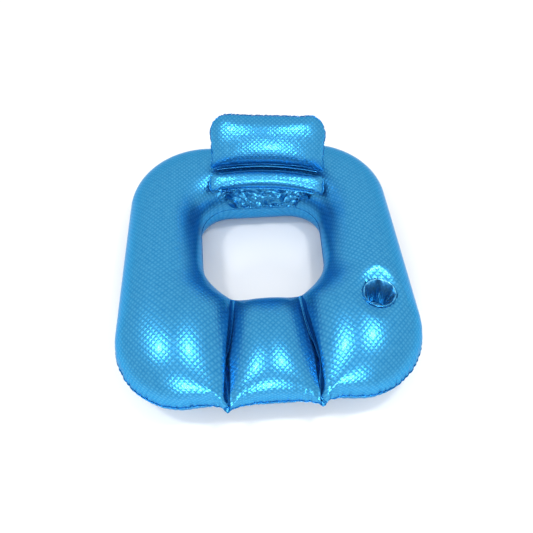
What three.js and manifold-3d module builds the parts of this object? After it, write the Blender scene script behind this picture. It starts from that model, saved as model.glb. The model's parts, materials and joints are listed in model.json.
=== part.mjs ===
// Inflatable floating lounge chair, in millimetres, +Z up.
// The origin is on the floor, under the middle of the chair. The sitter's legs go over the front, at -Y.
//
// The ring is two vinyl sheets, welded at their outer edge, round the seat hole and along two lines at
// the front. Those lines part the air space into a horseshoe (two arms and the back) and a leg bolster.
// The backrest is a lumbar roll and a headrest pillow, each of a front and a back sheet, which fold at
// the welds between them. A flap ties the roll to the ring. The right arm has a cup pocket, and each of
// the three air chambers has its own push-in valve.
import * as THREE from "three";
import { mergeVertices } from "three/addons/utils/BufferGeometryUtils.js";
import Module from "manifold-3d";

// Vinyl
const WALL = 0.4; // thickness of the sheet
const GAP = 0.3; // between pieces that touch
const SEAM = 6; // width of the flat weld outside an air space

// Ring
const RING_LENGTH = 918;
const FRONT_HALF_WIDTH = 440;
const BACK_HALF_WIDTH = 414;
const FRONT_CORNER = 205; // corner radii of the outer edge
const BACK_CORNER = 237;
const TUBE_RISE = 121; // from a weld to the crest of the horseshoe
const FLATTENING = 4; // of the ring's underside, where it rests
const SEAM_HEIGHT = TUBE_RISE - FLATTENING; // of the ring's welds above the floor
const TUBE_ROUNDNESS = 2.1; // exponent of the section, where 2 is an ellipse
const END_ROUNDING = 160; // length over which an arm tapers to the dividing weld
const BOLSTER_RISE = 86;

// Seat hole
const HOLE_FRONT_HALF_WIDTH = 185;
const HOLE_BACK_HALF_WIDTH = 194;
const HOLE_FRONT = -138;
const HOLE_BACK = 223;
const HOLE_FRONT_CORNER = 135;
const HOLE_BACK_CORNER = 103;

// Dividing welds, whose ends are measured sideways from the middle
const DIVIDER_WIDTH = 9;
const DIVIDER_AT_HOLE = 100;
const DIVIDER_AT_FRONT = 128;
const EAR = 22; // how far the outer weld stands out where a dividing weld meets it
const EAR_SPREAD = 30;

// Cup pocket in the right arm, placed on the line down the arm's middle
const CUP_FROM_FRONT = 225; // along that line, from the dividing weld
const CUP_ASIDE = 17; // outward from it
const CUP_MOUTH_RADIUS = 44;
const CUP_BASE_RADIUS = 36;
const CUP_DEPTH = 112;
const CUP_RIM_WIDTH = 10;
const CUP_RIM_THICKNESS = 1; // and of the pocket's floor
const CUP_WELD = 2; // width of the ring's sheet under the rim
const CUP_LAND = 15; // of flat sheet outside the rim
const CUP_FLAT_REACH = 76; // how far beyond the rim the arm's crest is flattened

// Backrest, which leans on the ring's back a little askew
const BACKREST = { x: 24, beforeHole: 12, belowCrest: 14, yaw: -5.5 }; // of its fold, from the hole's back edge
const BACKREST_WIDTH = 362;
const ROLL = { length: 60, rise: 27, tilt: 34, foot: 22, head: 22 };
const HEADREST = { length: 160, rise: 50, tilt: 50, foot: 14, head: 62 };
const FOLD = 9; // width of the flat weld at which a cushion folds
const BACKREST_DROOP = 20; // how far the roll's ends hang below its middle
const CUSHION_FULLNESS = 0.75; // exponent of a cushion's bulge

// Flap that ties the roll to the ring
const FLAP_WIDTH = 210;
const FLAP_CLEARANCE = 9; // above the ring's surface
const FLAP_FROM = 136; // angles on the ring's back tube, in degrees from its rear
const FLAP_TO = 178;

// Valves
const VALVE = {
  flange: 17, // radii
  neck: 8.8,
  stem: 7.2,
  bore: 4.2,
  pin: 3.6,
  lip: 9.5,
  bead: 8.6,
  cap: 9,
  checkFlap: 6.5,
  clearance: 0.4, // between the stem and the neck
  plate: 1.2, // thickness of the flange
  neckLength: 6,
  stemLength: 16,
  beadHeight: 1.5,
  lipHeight: 1,
  capHeight: 1.8,
  pinLength: 3.1,
  lugReach: 12, // from the axis of the stem to the cap's hinge
  lugWidth: 5,
  lugGap: 0.1,
  flapThickness: 0.6,
};
const SHEET_HOLE = VALVE.neck + 0.6; // radius of the hole that the neck goes through
const FLANGE_LIFT = 0.6; // of a flat flange's middle over a curved sheet
const RING_VALVE = { x: -95, elevation: 32 };

// Fineness of the faceted surfaces
const HORSESHOE_STATIONS = 46;
const BOLSTER_STATIONS = 8;
const ACROSS = 12;
const CUSHION_ACROSS = 12;
const CUSHION_ALONG = 8;
const FLAP_STEPS = 8;
const ROUND = 20;
const CUP_ROUND = 32;

const DRILL_DEPTH = 30; // of the tools that cut holes in the sheets

const UP = new THREE.Vector3(0, 0, 1);
const DOWN = new THREE.Vector3(0, 0, -1);
const rad = THREE.MathUtils.degToRad;
const wasm = await Module();
wasm.setup();

function blueVinyl() {
  return new THREE.MeshStandardMaterial({ color: 0x4098ca, roughness: 0.28, metalness: 0.5 });
}

function clearVinyl() {
  return new THREE.MeshStandardMaterial({ color: 0xb9dcea, roughness: 0.25, metalness: 0 });
}

function named(name, geometry, material) {
  const mesh = new THREE.Mesh(geometry, material);
  mesh.name = name;
  return mesh;
}

// A closed solid for manifold-3d, from a closed geometry.
function solid(geometry) {
  const bare = new THREE.BufferGeometry();
  bare.setAttribute("position", geometry.getAttribute("position"));
  bare.setIndex(geometry.getIndex());
  const merged = mergeVertices(bare, 1e-3);
  const mesh = new wasm.Mesh({
    numProp: 3,
    vertProperties: Float32Array.from(merged.attributes.position.array),
    triVerts: Uint32Array.from(merged.index.array),
  });
  return new wasm.Manifold(mesh);
}

function geometryOf(manifold) {
  const mesh = manifold.getMesh();
  const geometry = new THREE.BufferGeometry();
  geometry.setAttribute("position", new THREE.BufferAttribute(Float32Array.from(mesh.vertProperties), 3));
  geometry.setIndex(new THREE.BufferAttribute(Uint32Array.from(mesh.triVerts), 1));
  return geometry;
}

// A round tool that cuts a hole through a sheet, at a point and along a direction.
function drill(radius, depth, at, direction, round = ROUND) {
  const tool = new THREE.CylinderGeometry(radius, radius, depth, round);
  tool.rotateX(Math.PI / 2);
  tool.applyQuaternion(new THREE.Quaternion().setFromUnitVectors(new THREE.Vector3(0, 0, 1), direction));
  tool.translate(at.x, at.y, at.z);
  return tool;
}

function cut(geometry, tools) {
  return geometryOf(tools.reduce((body, tool) => body.subtract(solid(tool)), solid(geometry)));
}

function turned(profile, round = ROUND) {
  const points = [...profile, profile[0]].map(([r, z]) => new THREE.Vector2(r, z));
  return new THREE.LatheGeometry(points, round).rotateX(Math.PI / 2);
}

// A thin sheet whose outer face is a grid of points, grid[i][j]. The wall lies behind that face.
// The outer face looks along d/di x d/dj, or along its opposite if flipped is true.
function sheet(grid, { flipped = false } = {}) {
  const rows = grid.length;
  const columns = grid[0].length;
  const within = (k, count) => THREE.MathUtils.clamp(k, 0, count - 1);
  const point = (i, j) => grid[within(i, rows)][within(j, columns)];
  const positions = [];
  for (let i = 0; i < rows; i++)
    for (let j = 0; j < columns; j++) {
      const alongRows = point(i + 1, j).clone().sub(point(i - 1, j));
      const alongColumns = point(i, j + 1).clone().sub(point(i, j - 1));
      const normal = alongRows.cross(alongColumns).normalize();
      if (flipped) normal.negate();
      positions.push(point(i, j), point(i, j).clone().addScaledVector(normal, -WALL));
    }
  const at = (i, j, inner) => 2 * (i * columns + j) + inner;
  const index = [];
  const quad = (a, b, c, d) => {
    if (flipped) index.push(a, c, b, a, d, c);
    else index.push(a, b, c, a, c, d);
  };
  for (let i = 0; i < rows - 1; i++) {
    for (let j = 0; j < columns - 1; j++) {
      quad(at(i, j, 0), at(i + 1, j, 0), at(i + 1, j + 1, 0), at(i, j + 1, 0));
      quad(at(i, j, 1), at(i, j + 1, 1), at(i + 1, j + 1, 1), at(i + 1, j, 1));
    }
    quad(at(i, 0, 0), at(i, 0, 1), at(i + 1, 0, 1), at(i + 1, 0, 0));
    const j = columns - 1;
    quad(at(i, j, 0), at(i + 1, j, 0), at(i + 1, j, 1), at(i, j, 1));
  }
  for (let j = 0; j < columns - 1; j++) {
    const i = rows - 1;
    quad(at(0, j, 0), at(0, j + 1, 0), at(0, j + 1, 1), at(0, j, 1));
    quad(at(i, j, 0), at(i, j, 1), at(i, j + 1, 1), at(i, j + 1, 0));
  }
  const geometry = new THREE.BufferGeometry().setFromPoints(positions);
  return geometry.setIndex(index);
}

// ---- Ring

// Closed outline with straight sides and round corners, from the middle of its front and round to the right.
function roundedOutline({ frontHalf, backHalf, front, back, frontCorner, backCorner }) {
  const corners = [
    { x: frontHalf, y: front, r: frontCorner },
    { x: backHalf, y: back, r: backCorner },
    { x: -backHalf, y: back, r: backCorner },
    { x: -frontHalf, y: front, r: frontCorner },
  ];
  const path = new THREE.Path().moveTo(0, front);
  corners.forEach((corner, k) => {
    const here = new THREE.Vector2(corner.x, corner.y);
    const before = k ? new THREE.Vector2(corners[k - 1].x, corners[k - 1].y) : new THREE.Vector2(0, front);
    const next = corners[k + 1] ?? { x: 0, y: front };
    const backward = before.sub(here).normalize();
    const forward = new THREE.Vector2(next.x, next.y).sub(here).normalize();
    const half = backward.angleTo(forward) / 2;
    const centre = backward.clone().add(forward).normalize().multiplyScalar(corner.r / Math.sin(half)).add(here);
    const start = backward.multiplyScalar(corner.r / Math.tan(half)).add(here);
    const end = forward.multiplyScalar(corner.r / Math.tan(half)).add(here);
    path.lineTo(start.x, start.y);
    const from = start.sub(centre).angle();
    const to = end.sub(centre).angle();
    path.absarc(centre.x, centre.y, corner.r, from, to, false);
  });
  return path.lineTo(0, front);
}

const outerEdge = roundedOutline({
  frontHalf: FRONT_HALF_WIDTH,
  backHalf: BACK_HALF_WIDTH,
  front: -RING_LENGTH / 2,
  back: RING_LENGTH / 2,
  frontCorner: FRONT_CORNER,
  backCorner: BACK_CORNER,
});
const holeEdge = roundedOutline({
  frontHalf: HOLE_FRONT_HALF_WIDTH,
  backHalf: HOLE_BACK_HALF_WIDTH,
  front: HOLE_FRONT,
  back: HOLE_BACK,
  frontCorner: HOLE_FRONT_CORNER,
  backCorner: HOLE_BACK_CORNER,
});

// Evenly spaced places from one distance along an edge to another, measured from the middle of its front.
function places(edge, from, to, count) {
  const whole = edge.getLength();
  return Array.from({ length: count + 1 }, (_, k) => {
    const distance = from + ((to - from) * k) / count;
    return edge.getPoint(THREE.MathUtils.euclideanModulo(distance / whole, 1));
  });
}

// How far a tube that ends in a weld has swollen at a distance from it, from 0 to 1.
function swell(distance, rounding) {
  const short = 1 - Math.min(distance / rounding, 1);
  return Math.sqrt(1 - short * short);
}

// How far the outer weld stands out at a distance along its edge from the middle of the front.
function earReach(distance) {
  const fromFront = Math.min(Math.abs(distance), Math.abs(outerEdge.getLength() - distance));
  return EAR * Math.exp(-Math.abs(fromFront - DIVIDER_AT_FRONT) / EAR_SPREAD);
}

// Stations round the ring: the two ends of each cross line and the rise of the tube there.
function stationsOf(count, holeFrom, holeTo, outerFrom, outerTo, rise, rounding) {
  const inner = places(holeEdge, holeFrom, holeTo, count);
  const outer = places(outerEdge, outerFrom, outerTo, count).map((p, k) => {
    const distance = outerFrom + ((outerTo - outerFrom) * k) / count;
    return p.addScaledVector(p.clone().sub(inner[k]).normalize(), earReach(distance));
  });
  const middles = inner.map((p, k) => p.clone().add(outer[k]).multiplyScalar(0.5));
  const run = [0];
  for (let k = 1; k <= count; k++) run.push(run[k - 1] + middles[k].distanceTo(middles[k - 1]));
  const taper = rounding ?? run[count] / 2;
  return inner.map((p, k) => ({
    inner: p,
    outer: outer[k],
    rise: rise * swell(Math.min(run[k], run[count] - run[k]), taper),
  }));
}

const weld = DIVIDER_WIDTH / 2;
const horseshoe = stationsOf(
  HORSESHOE_STATIONS,
  DIVIDER_AT_HOLE + weld,
  holeEdge.getLength() - DIVIDER_AT_HOLE - weld,
  DIVIDER_AT_FRONT + weld,
  outerEdge.getLength() - DIVIDER_AT_FRONT - weld,
  TUBE_RISE,
  END_ROUNDING,
);
const bolster = stationsOf(
  BOLSTER_STATIONS,
  weld - DIVIDER_AT_HOLE,
  DIVIDER_AT_HOLE - weld,
  weld - DIVIDER_AT_FRONT,
  DIVIDER_AT_FRONT - weld,
  BOLSTER_RISE,
);

// Section of the tube at a turn of 0 at the outer weld to PI at the hole: [sideways, up], each up to 1.
function tubeSection(turn) {
  const power = 2 / TUBE_ROUNDNESS;
  const cosine = Math.cos(turn);
  return [Math.sign(cosine) * Math.abs(cosine) ** power, Math.abs(Math.sin(turn)) ** power];
}

const UPPER_FOOT = SEAM_HEIGHT + GAP / 2 + WALL; // height of the upper sheet's face at the welds
const crest = UPPER_FOOT + TUBE_RISE;

// A place on the horseshoe, that far along its middle line from the right dividing weld and that far outward.
function onHorseshoe(distance, aside) {
  const middles = horseshoe.map(({ inner, outer }) => inner.clone().lerp(outer, 0.5));
  const step = (k) => middles[k].distanceTo(middles[k + 1]);
  let k = 0;
  let left = distance;
  while (left > step(k)) {
    left -= step(k);
    k += 1;
  }
  const inner = horseshoe[k].inner.clone().lerp(horseshoe[k + 1].inner, left / step(k));
  const outer = horseshoe[k].outer.clone().lerp(horseshoe[k + 1].outer, left / step(k));
  const half = inner.distanceTo(outer) / 2;
  const point = inner.clone().lerp(outer, 0.5).addScaledVector(outer.clone().sub(inner).normalize(), aside);
  return { x: point.x, y: point.y, half };
}

const cup = onHorseshoe(CUP_FROM_FRONT, CUP_ASIDE);
const cupRimRadius = CUP_MOUTH_RADIUS + CUP_RIM_WIDTH;
const cupReach = (CUP_ASIDE + cupRimRadius + CUP_LAND) / cup.half;
const cupPlane = UPPER_FOOT + TUBE_RISE * (1 - cupReach ** TUBE_ROUNDNESS) ** (1 / TUBE_ROUNDNESS);

// Outer face of the upper (side 1) or lower (side -1) sheet of a chamber of the ring.
function chamberGrid(stations, side) {
  return stations.map(({ inner, outer, rise }) => {
    const middle = inner.clone().add(outer).multiplyScalar(0.5);
    const reach = outer.clone().sub(middle);
    const away = reach.clone().normalize().multiplyScalar(SEAM);
    const row = [];
    const add = (place, up) => {
      let z = SEAM_HEIGHT + side * (GAP / 2 + WALL + up);
      const nearCup = Math.hypot(place.x - cup.x, place.y - cup.y) < cupRimRadius + CUP_FLAT_REACH;
      if (side > 0 && nearCup) z = Math.min(z, cupPlane);
      row.push(new THREE.Vector3(place.x, place.y, Math.max(z, 0)));
    };
    add(outer.clone().add(away), 0);
    for (let k = 0; k <= ACROSS; k++) {
      const [sideways, up] = tubeSection((Math.PI * k) / ACROSS);
      add(middle.clone().addScaledVector(reach, sideways), rise * up);
    }
    add(inner.clone().sub(away), 0);
    return row;
  });
}

// The flat strip between the horseshoe's end and the bolster's end, on the side where x has that sign.
function dividingWeld(side) {
  const [arm, leg] = side > 0 ? [horseshoe[0], bolster.at(-1)] : [horseshoe.at(-1), bolster[0]];
  const across = arm.inner.clone().sub(leg.inner).normalize().multiplyScalar(GAP);
  const away = arm.outer.clone().sub(arm.inner).normalize().multiplyScalar(SEAM);
  const corners = [
    leg.inner.clone().add(across).sub(away),
    arm.inner.clone().sub(across).sub(away),
    arm.outer.clone().sub(across).add(away),
    leg.outer.clone().add(across).add(away),
  ];
  const strip = new THREE.ExtrudeGeometry(new THREE.Shape(corners), {
    depth: 2 * WALL + GAP,
    bevelEnabled: false,
  });
  return strip.translate(0, 0, SEAM_HEIGHT - WALL - GAP / 2);
}

// Point and outward direction on the upper side of the ring's straight back tube, at an angle from its rear.
const backTube = {
  y: (RING_LENGTH / 2 + HOLE_BACK) / 2,
  half: (RING_LENGTH / 2 - HOLE_BACK) / 2,
};
function onBackTube(x, degrees, clearance = 0) {
  const [sideways, up] = tubeSection(rad(degrees));
  const face = new THREE.Vector3(
    x,
    backTube.y + backTube.half * sideways,
    UPPER_FOOT + TUBE_RISE * up,
  );
  const power = TUBE_ROUNDNESS - 1;
  const direction = new THREE.Vector3(
    0,
    (Math.sign(sideways) * Math.abs(sideways) ** power) / backTube.half,
    up ** power / TUBE_RISE,
  ).normalize();
  return { point: face.addScaledVector(direction, clearance), direction };
}

// ---- Valves

const valveTop = GAP + VALVE.plate; // of the flange, above the sheet
const lipFoot = valveTop + GAP;
const lipTop = lipFoot + VALVE.lipHeight;
const capFoot = lipTop + GAP;

function bar(fromX, toX, width, fromZ, toZ) {
  const box = new THREE.BoxGeometry(toX - fromX, width, toZ - fromZ);
  return box.translate((fromX + toX) / 2, 0, (fromZ + toZ) / 2);
}

function join(a, b) {
  return geometryOf(solid(a).add(solid(b)));
}

// A push-in valve on a sheet: the sheet's face is the plane z = 0, and +Z looks out of the chamber.
// The cap hinges about a line along Y, lugReach from the axis.
function valve(chamber) {
  const group = new THREE.Group();
  const v = VALVE;
  const flange = turned([
    [v.stem + v.clearance, -v.neckLength],
    [v.neck, -v.neckLength],
    [v.neck, GAP],
    [v.flange, GAP],
    [v.flange, valveTop],
    [v.stem + v.clearance, valveTop],
  ]);
  const tube = turned([
    [v.bore, -v.stemLength],
    [v.bead, -v.stemLength],
    [v.bead, v.beadHeight - v.stemLength],
    [v.stem, v.beadHeight - v.stemLength],
    [v.stem, lipFoot],
    [v.lip, lipFoot],
    [v.lip, lipTop],
    [v.bore, lipTop],
  ]);
  const stem = join(tube, bar(v.stem, v.lugReach - v.lugGap, v.lugWidth, lipFoot, lipTop));
  const plug = turned([
    [0, capFoot - v.pinLength],
    [v.pin, capFoot - v.pinLength],
    [v.pin, capFoot],
    [v.cap, capFoot],
    [v.cap, capFoot + v.capHeight],
    [0, capFoot + v.capHeight],
  ]);
  const cap = join(plug, bar(v.pin, v.lugReach, v.lugWidth, capFoot, capFoot + v.capHeight));
  const flapTop = -v.stemLength - GAP;
  const checkFlap = turned([
    [0, flapTop - v.flapThickness],
    [v.checkFlap, flapTop - v.flapThickness],
    [v.checkFlap, flapTop],
    [0, flapTop],
  ]);
  group.add(
    named(`${chamber}_valve_flange`, flange, clearVinyl()),
    named(`${chamber}_valve_stem`, stem, clearVinyl()),
    named(`${chamber}_valve_cap`, cap, clearVinyl()),
    named(`${chamber}_valve_check_flap`, checkFlap, clearVinyl()),
  );
  return group;
}

function place(group, point, direction) {
  group.position.copy(point);
  group.quaternion.setFromUnitVectors(new THREE.Vector3(0, 0, 1), direction);
  return group;
}

// ---- Backrest

// Outer face of one side of a cushion that starts at a fold (y = 0) and has its far edge at y = length.
// The foot and head are its corner radii there. droop bends its ends towards -Y.
function cushionGrid({ length, rise, foot, head }, side, droop) {
  const half = BACKREST_WIDTH / 2;
  const halfWidth = (y) => {
    const short = (corner, edge) => (edge < corner ? corner - Math.sqrt(corner ** 2 - (corner - edge) ** 2) : 0);
    return half - Math.max(short(foot, Math.max(y, 0)), short(head, Math.max(length - y, 0)));
  };
  const steps = (count) => Array.from({ length: count + 1 }, (_, k) => -Math.cos((Math.PI * k) / count));
  const margin = (list, extra) => [[list[0], -extra], ...list.map((s) => [s, 0]), [list.at(-1), extra]];
  return margin(steps(CUSHION_ACROSS), SEAM).map(([across, beside]) =>
    margin(steps(CUSHION_ALONG), SEAM).map(([along, beyond], row) => {
      const low = row === 0 ? -FOLD / 2 + GAP : beyond;
      const y = FOLD / 2 + ((length - FOLD / 2) * (1 + along)) / 2;
      const x = across * halfWidth(y) + beside;
      const up = rise * ((1 - across ** 2) * (1 - along ** 2)) ** CUSHION_FULLNESS;
      const sag = -droop * (x / half) ** 2;
      return new THREE.Vector3(x, y + low + sag, side * (GAP / 2 + WALL + up));
    }),
  );
}

function cushion(name, shape, droop, tools = []) {
  const front = sheet(cushionGrid(shape, 1, droop));
  const back = cut(sheet(cushionGrid(shape, -1, droop), { flipped: true }), tools);
  return [named(`${name}_front_sheet`, front, blueVinyl()), named(`${name}_back_sheet`, back, blueVinyl())];
}

function backrest() {
  const base = new THREE.Group();
  base.position.set(BACKREST.x, HOLE_BACK - BACKREST.beforeHole, crest - BACKREST.belowCrest);
  base.rotation.z = rad(BACKREST.yaw);
  const roll = new THREE.Group();
  roll.rotation.x = rad(ROLL.tilt);
  roll.add(...cushion("lumbar_roll", ROLL, BACKREST_DROOP));
  const headrest = new THREE.Group();
  const reach = ROLL.length + SEAM + FOLD / 2;
  headrest.position.set(0, reach * Math.cos(rad(ROLL.tilt)), reach * Math.sin(rad(ROLL.tilt)));
  headrest.rotation.x = rad(HEADREST.tilt);
  const seat = new THREE.Vector3(0, (HEADREST.length + FOLD / 2) / 2, -GAP / 2 - WALL - HEADREST.rise);
  headrest.add(
    ...cushion("headrest", HEADREST, BACKREST_DROOP / 2, [drill(SHEET_HOLE, DRILL_DEPTH, seat, DOWN)]),
    place(valve("headrest"), seat, DOWN),
  );
  base.add(roll, headrest);
  return base;
}

// A thin sheet that lies over the front of the ring's back tube, under the roll.
function flapGeometry() {
  const grid = [];
  for (let i = 0; i <= FLAP_STEPS; i++) {
    const x = BACKREST.x + FLAP_WIDTH * (i / FLAP_STEPS - 0.5);
    const line = [];
    for (let j = 0; j <= FLAP_STEPS; j++) {
      const angle = FLAP_FROM + ((FLAP_TO - FLAP_FROM) * j) / FLAP_STEPS;
      line.push(onBackTube(x, angle, FLAP_CLEARANCE).point);
    }
    grid.push(line);
  }
  return sheet(grid, { flipped: true });
}

// ---- Cup pocket

function cupPocket() {
  const group = new THREE.Group();
  group.position.set(cup.x, cup.y, cupPlane);
  const rim = turned([
    [CUP_MOUTH_RADIUS - 2 * WALL, GAP],
    [cupRimRadius, GAP],
    [cupRimRadius, GAP + CUP_RIM_THICKNESS],
    [CUP_MOUTH_RADIUS - 2 * WALL, GAP + CUP_RIM_THICKNESS],
  ], CUP_ROUND);
  const sleeve = turned([
    [CUP_BASE_RADIUS - WALL, -CUP_DEPTH],
    [CUP_BASE_RADIUS, -CUP_DEPTH],
    [CUP_MOUTH_RADIUS, 0],
    [CUP_MOUTH_RADIUS - WALL, 0],
  ], CUP_ROUND);
  const base = turned([
    [0, -CUP_DEPTH],
    [CUP_BASE_RADIUS - WALL - GAP, -CUP_DEPTH],
    [CUP_BASE_RADIUS - WALL - GAP, CUP_RIM_THICKNESS - CUP_DEPTH],
    [0, CUP_RIM_THICKNESS - CUP_DEPTH],
  ], CUP_ROUND);
  group.add(
    named("cup_rim_ring", rim, blueVinyl()),
    named("cup_sleeve", sleeve, blueVinyl()),
    named("cup_base_disc", base, blueVinyl()),
  );
  return group;
}

// ---- Assembly

const ringValveSeat = onBackTube(RING_VALVE.x, RING_VALVE.elevation, FLANGE_LIFT);
const bolsterValveSeat = {
  point: new THREE.Vector3(0, (HOLE_FRONT - RING_LENGTH / 2) / 2, SEAM_HEIGHT - GAP / 2 - WALL - BOLSTER_RISE),
  direction: DOWN,
};

const horseshoeUpper = cut(sheet(chamberGrid(horseshoe, 1)), [
  drill(cupRimRadius - CUP_WELD, DRILL_DEPTH, { x: cup.x, y: cup.y, z: cupPlane }, UP, CUP_ROUND),
  drill(SHEET_HOLE, DRILL_DEPTH, ringValveSeat.point, ringValveSeat.direction),
]);
const horseshoeLower = sheet(chamberGrid(horseshoe, -1), { flipped: true });
const bolsterLower = cut(sheet(chamberGrid(bolster, -1), { flipped: true }), [
  drill(SHEET_HOLE, DRILL_DEPTH, bolsterValveSeat.point, bolsterValveSeat.direction),
]);

const chair = new THREE.Group();
chair.add(
  named("horseshoe_upper_sheet", horseshoeUpper, blueVinyl()),
  named("horseshoe_lower_sheet", horseshoeLower, blueVinyl()),
  named("bolster_upper_sheet", sheet(chamberGrid(bolster, 1)), blueVinyl()),
  named("bolster_lower_sheet", bolsterLower, blueVinyl()),
  named("right_dividing_weld", dividingWeld(1), blueVinyl()),
  named("left_dividing_weld", dividingWeld(-1), blueVinyl()),
  named("backrest_flap", flapGeometry(), blueVinyl()),
  cupPocket(),
  backrest(),
  place(valve("ring"), ringValveSeat.point, ringValveSeat.direction),
  place(valve("bolster"), bolsterValveSeat.point, bolsterValveSeat.direction),
);

// The origin is on the floor, under the middle of the whole float.
const middle = new THREE.Box3().setFromObject(chair, true).getCenter(new THREE.Vector3());
chair.position.set(-middle.x, -middle.y, 0);

export default chair;
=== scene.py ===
import json
import math

import bpy
import numpy as np
from mathutils import Matrix, Vector
from mathutils.kdtree import KDTree


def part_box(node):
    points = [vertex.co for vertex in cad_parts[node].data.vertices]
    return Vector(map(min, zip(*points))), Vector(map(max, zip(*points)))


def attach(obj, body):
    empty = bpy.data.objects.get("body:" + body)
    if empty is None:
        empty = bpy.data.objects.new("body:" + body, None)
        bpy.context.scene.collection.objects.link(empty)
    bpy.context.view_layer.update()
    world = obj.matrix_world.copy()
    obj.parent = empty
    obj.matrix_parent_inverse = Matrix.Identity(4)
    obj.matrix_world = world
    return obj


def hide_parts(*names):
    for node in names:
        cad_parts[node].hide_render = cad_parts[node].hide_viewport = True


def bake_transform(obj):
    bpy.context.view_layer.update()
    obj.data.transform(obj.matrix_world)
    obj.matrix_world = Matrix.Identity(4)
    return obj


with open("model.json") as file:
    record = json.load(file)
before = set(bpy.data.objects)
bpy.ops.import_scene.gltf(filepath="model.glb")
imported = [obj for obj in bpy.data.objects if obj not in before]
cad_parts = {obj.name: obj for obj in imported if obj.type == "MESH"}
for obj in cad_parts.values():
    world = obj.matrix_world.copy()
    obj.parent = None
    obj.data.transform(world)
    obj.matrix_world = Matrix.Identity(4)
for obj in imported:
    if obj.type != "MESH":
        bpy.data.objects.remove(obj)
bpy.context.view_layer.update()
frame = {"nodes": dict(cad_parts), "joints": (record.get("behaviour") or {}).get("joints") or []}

# Metres throughout, in the frame of the CAD model: -Y is the front, +Z is up.
# Rows of a surface grid run along a tube, and its columns run round it.

# ---- Sizes that the frame gives

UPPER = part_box("horseshoe_upper_sheet")
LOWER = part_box("horseshoe_lower_sheet")
SEAM_HEIGHT = (UPPER[0].z + LOWER[1].z) / 2
CUP_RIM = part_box("cup_rim_ring")
CUP_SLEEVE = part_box("cup_sleeve")
CUP = (CUP_RIM[0] + CUP_RIM[1]) / 2
CUP_PLANE = CUP_RIM[0].z
CUP_FLOOR = CUP_SLEEVE[0].z
JOINTS = {joint["name"]: joint for joint in frame["joints"]}

# ---- Shape of the ring, as in the CAD model

SEAM = 0.006  # width of the weld's free margin
WALL = 0.0004
RING_LENGTH = 0.918
EDGE_BACK = UPPER[1].y - SEAM
EDGE_FRONT = EDGE_BACK - RING_LENGTH
RING_MIDDLE = (EDGE_FRONT + EDGE_BACK) / 2
FRONT_HALF_WIDTH = 0.440
BACK_HALF_WIDTH = 0.414
FRONT_CORNER = 0.205
BACK_CORNER = 0.237
HOLE = dict(
    front_half=0.185,
    back_half=0.194,
    front=RING_MIDDLE - 0.138,
    back=RING_MIDDLE + 0.223,
    front_corner=0.135,
    back_corner=0.103,
)
TUBE_RISE = UPPER[1].z - UPPER[0].z - WALL
TUBE_ROUNDNESS = 2.1
END_ROUNDING = 0.160
BOLSTER_RISE = 0.086
DIVIDER_WIDTH = 0.009
DIVIDER_AT_HOLE = 0.100
DIVIDER_AT_FRONT = 0.128
EAR = 0.022  # how far the outer weld stands out where a dividing weld meets it
EAR_SPREAD = 0.030
CUT_OUTSIDE = 0.078  # how far the flat pattern reaches beyond the inflated ring
CUT_INSIDE = 0.062

# ---- Small features of the ring

PUCKER_PITCH = 0.0185
PUCKER_WIDTH = 0.0052
PUCKER_DEPTH = 0.0032
PUCKER_PEAK = 0.013  # from the weld to where a pucker is deepest
SCALLOP = 0.0032
CUP_MOUTH = (CUP_SLEEVE[1].x - CUP_SLEEVE[0].x) / 2
CUP_BASE = 0.036
CUP_HOLE = CUP_MOUTH + 0.003  # radius of the hole in the ring's sheet
CUP_DIP_REACH = 0.040
CUP_LIP_DROP = 0.004

# ---- Backrest, as in the CAD model

BACKREST_WIDTH = 0.362
FOLD = 0.009
DROOP = 0.020
ROLL_TILT = math.radians(34)
HEADREST_TILT = math.radians(50)
ROLL = dict(
    length=0.0555,
    rise=0.027,
    foot=0.018,
    head=0.018,
    cut_wide=1.09,
    cut_long=1.50,
    far_droop=0.018,
    grid=(88, 22),
)
HEADREST = dict(
    length=0.1555,
    rise=0.056,
    foot=0.014,
    head=0.062,
    cut_wide=1.15,
    cut_long=1.32,
    far_droop=-0.002,
    grid=(84, 42),
)
FLAP_FROM = 136  # angles on the ring's back tube, in degrees from its rear
FLAP_TO = 176
FLAP_TOP_HALF = 0.148
FLAP_LOW_HALF = 0.092
FLAP_SPARE = 1.09  # how much longer the flap was cut than the space that it lies in
FLAP_GRID = (120, 56)
FLAP_CREASE = 0.016  # spread of the noise that its creases start from
FLAP_CREASE_PASSES = 14  # of smoothing, inside its border only
FLAP_FRAMES = 26
FLAP_TAB_RISE = 0.010
STRIP_THICKNESS = 0.0014
STRIP_SPREAD = 0.22  # of the fold's width, to each side

HORSESHOE_ROWS = 280
BOLSTER_ROWS = 44
COLUMNS = 30  # on each sheet

# ---- Lattice embossed in the vinyl

CELL = 0.0110
EMBOSSING = 0.00046


def outline(front_half, back_half, front, back, front_corner, back_corner):
    """Closed outline with round corners, from its front middle to the right, as points and distances."""
    corners = [
        (front_half, front, front_corner),
        (back_half, back, back_corner),
        (-back_half, back, back_corner),
        (-front_half, front, front_corner),
    ]
    stops = [np.array([0.0, front])] + [np.array(c[:2]) for c in corners] + [np.array([0.0, front])]
    points = [stops[0][None]]
    for k, (x, y, radius) in enumerate(corners):
        here = np.array([x, y])
        backward = stops[k] - here
        forward = stops[k + 2] - here
        backward /= np.linalg.norm(backward)
        forward /= np.linalg.norm(forward)
        half = math.acos(float(backward @ forward)) / 2
        middle = backward + forward
        centre = here + middle / np.linalg.norm(middle) * radius / math.sin(half)
        start = here + backward * radius / math.tan(half) - centre
        turn = np.linspace(0, math.pi - 2 * half, 200)[:, None]
        side = np.array([-start[1], start[0]])
        points.append(centre + start * np.cos(turn) + side * np.sin(turn))
    points.append(stops[-1][None])
    line = np.concatenate(points)
    steps = np.linalg.norm(np.diff(line, axis=0), axis=1)
    return line, np.concatenate([[0], np.cumsum(steps)])


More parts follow.
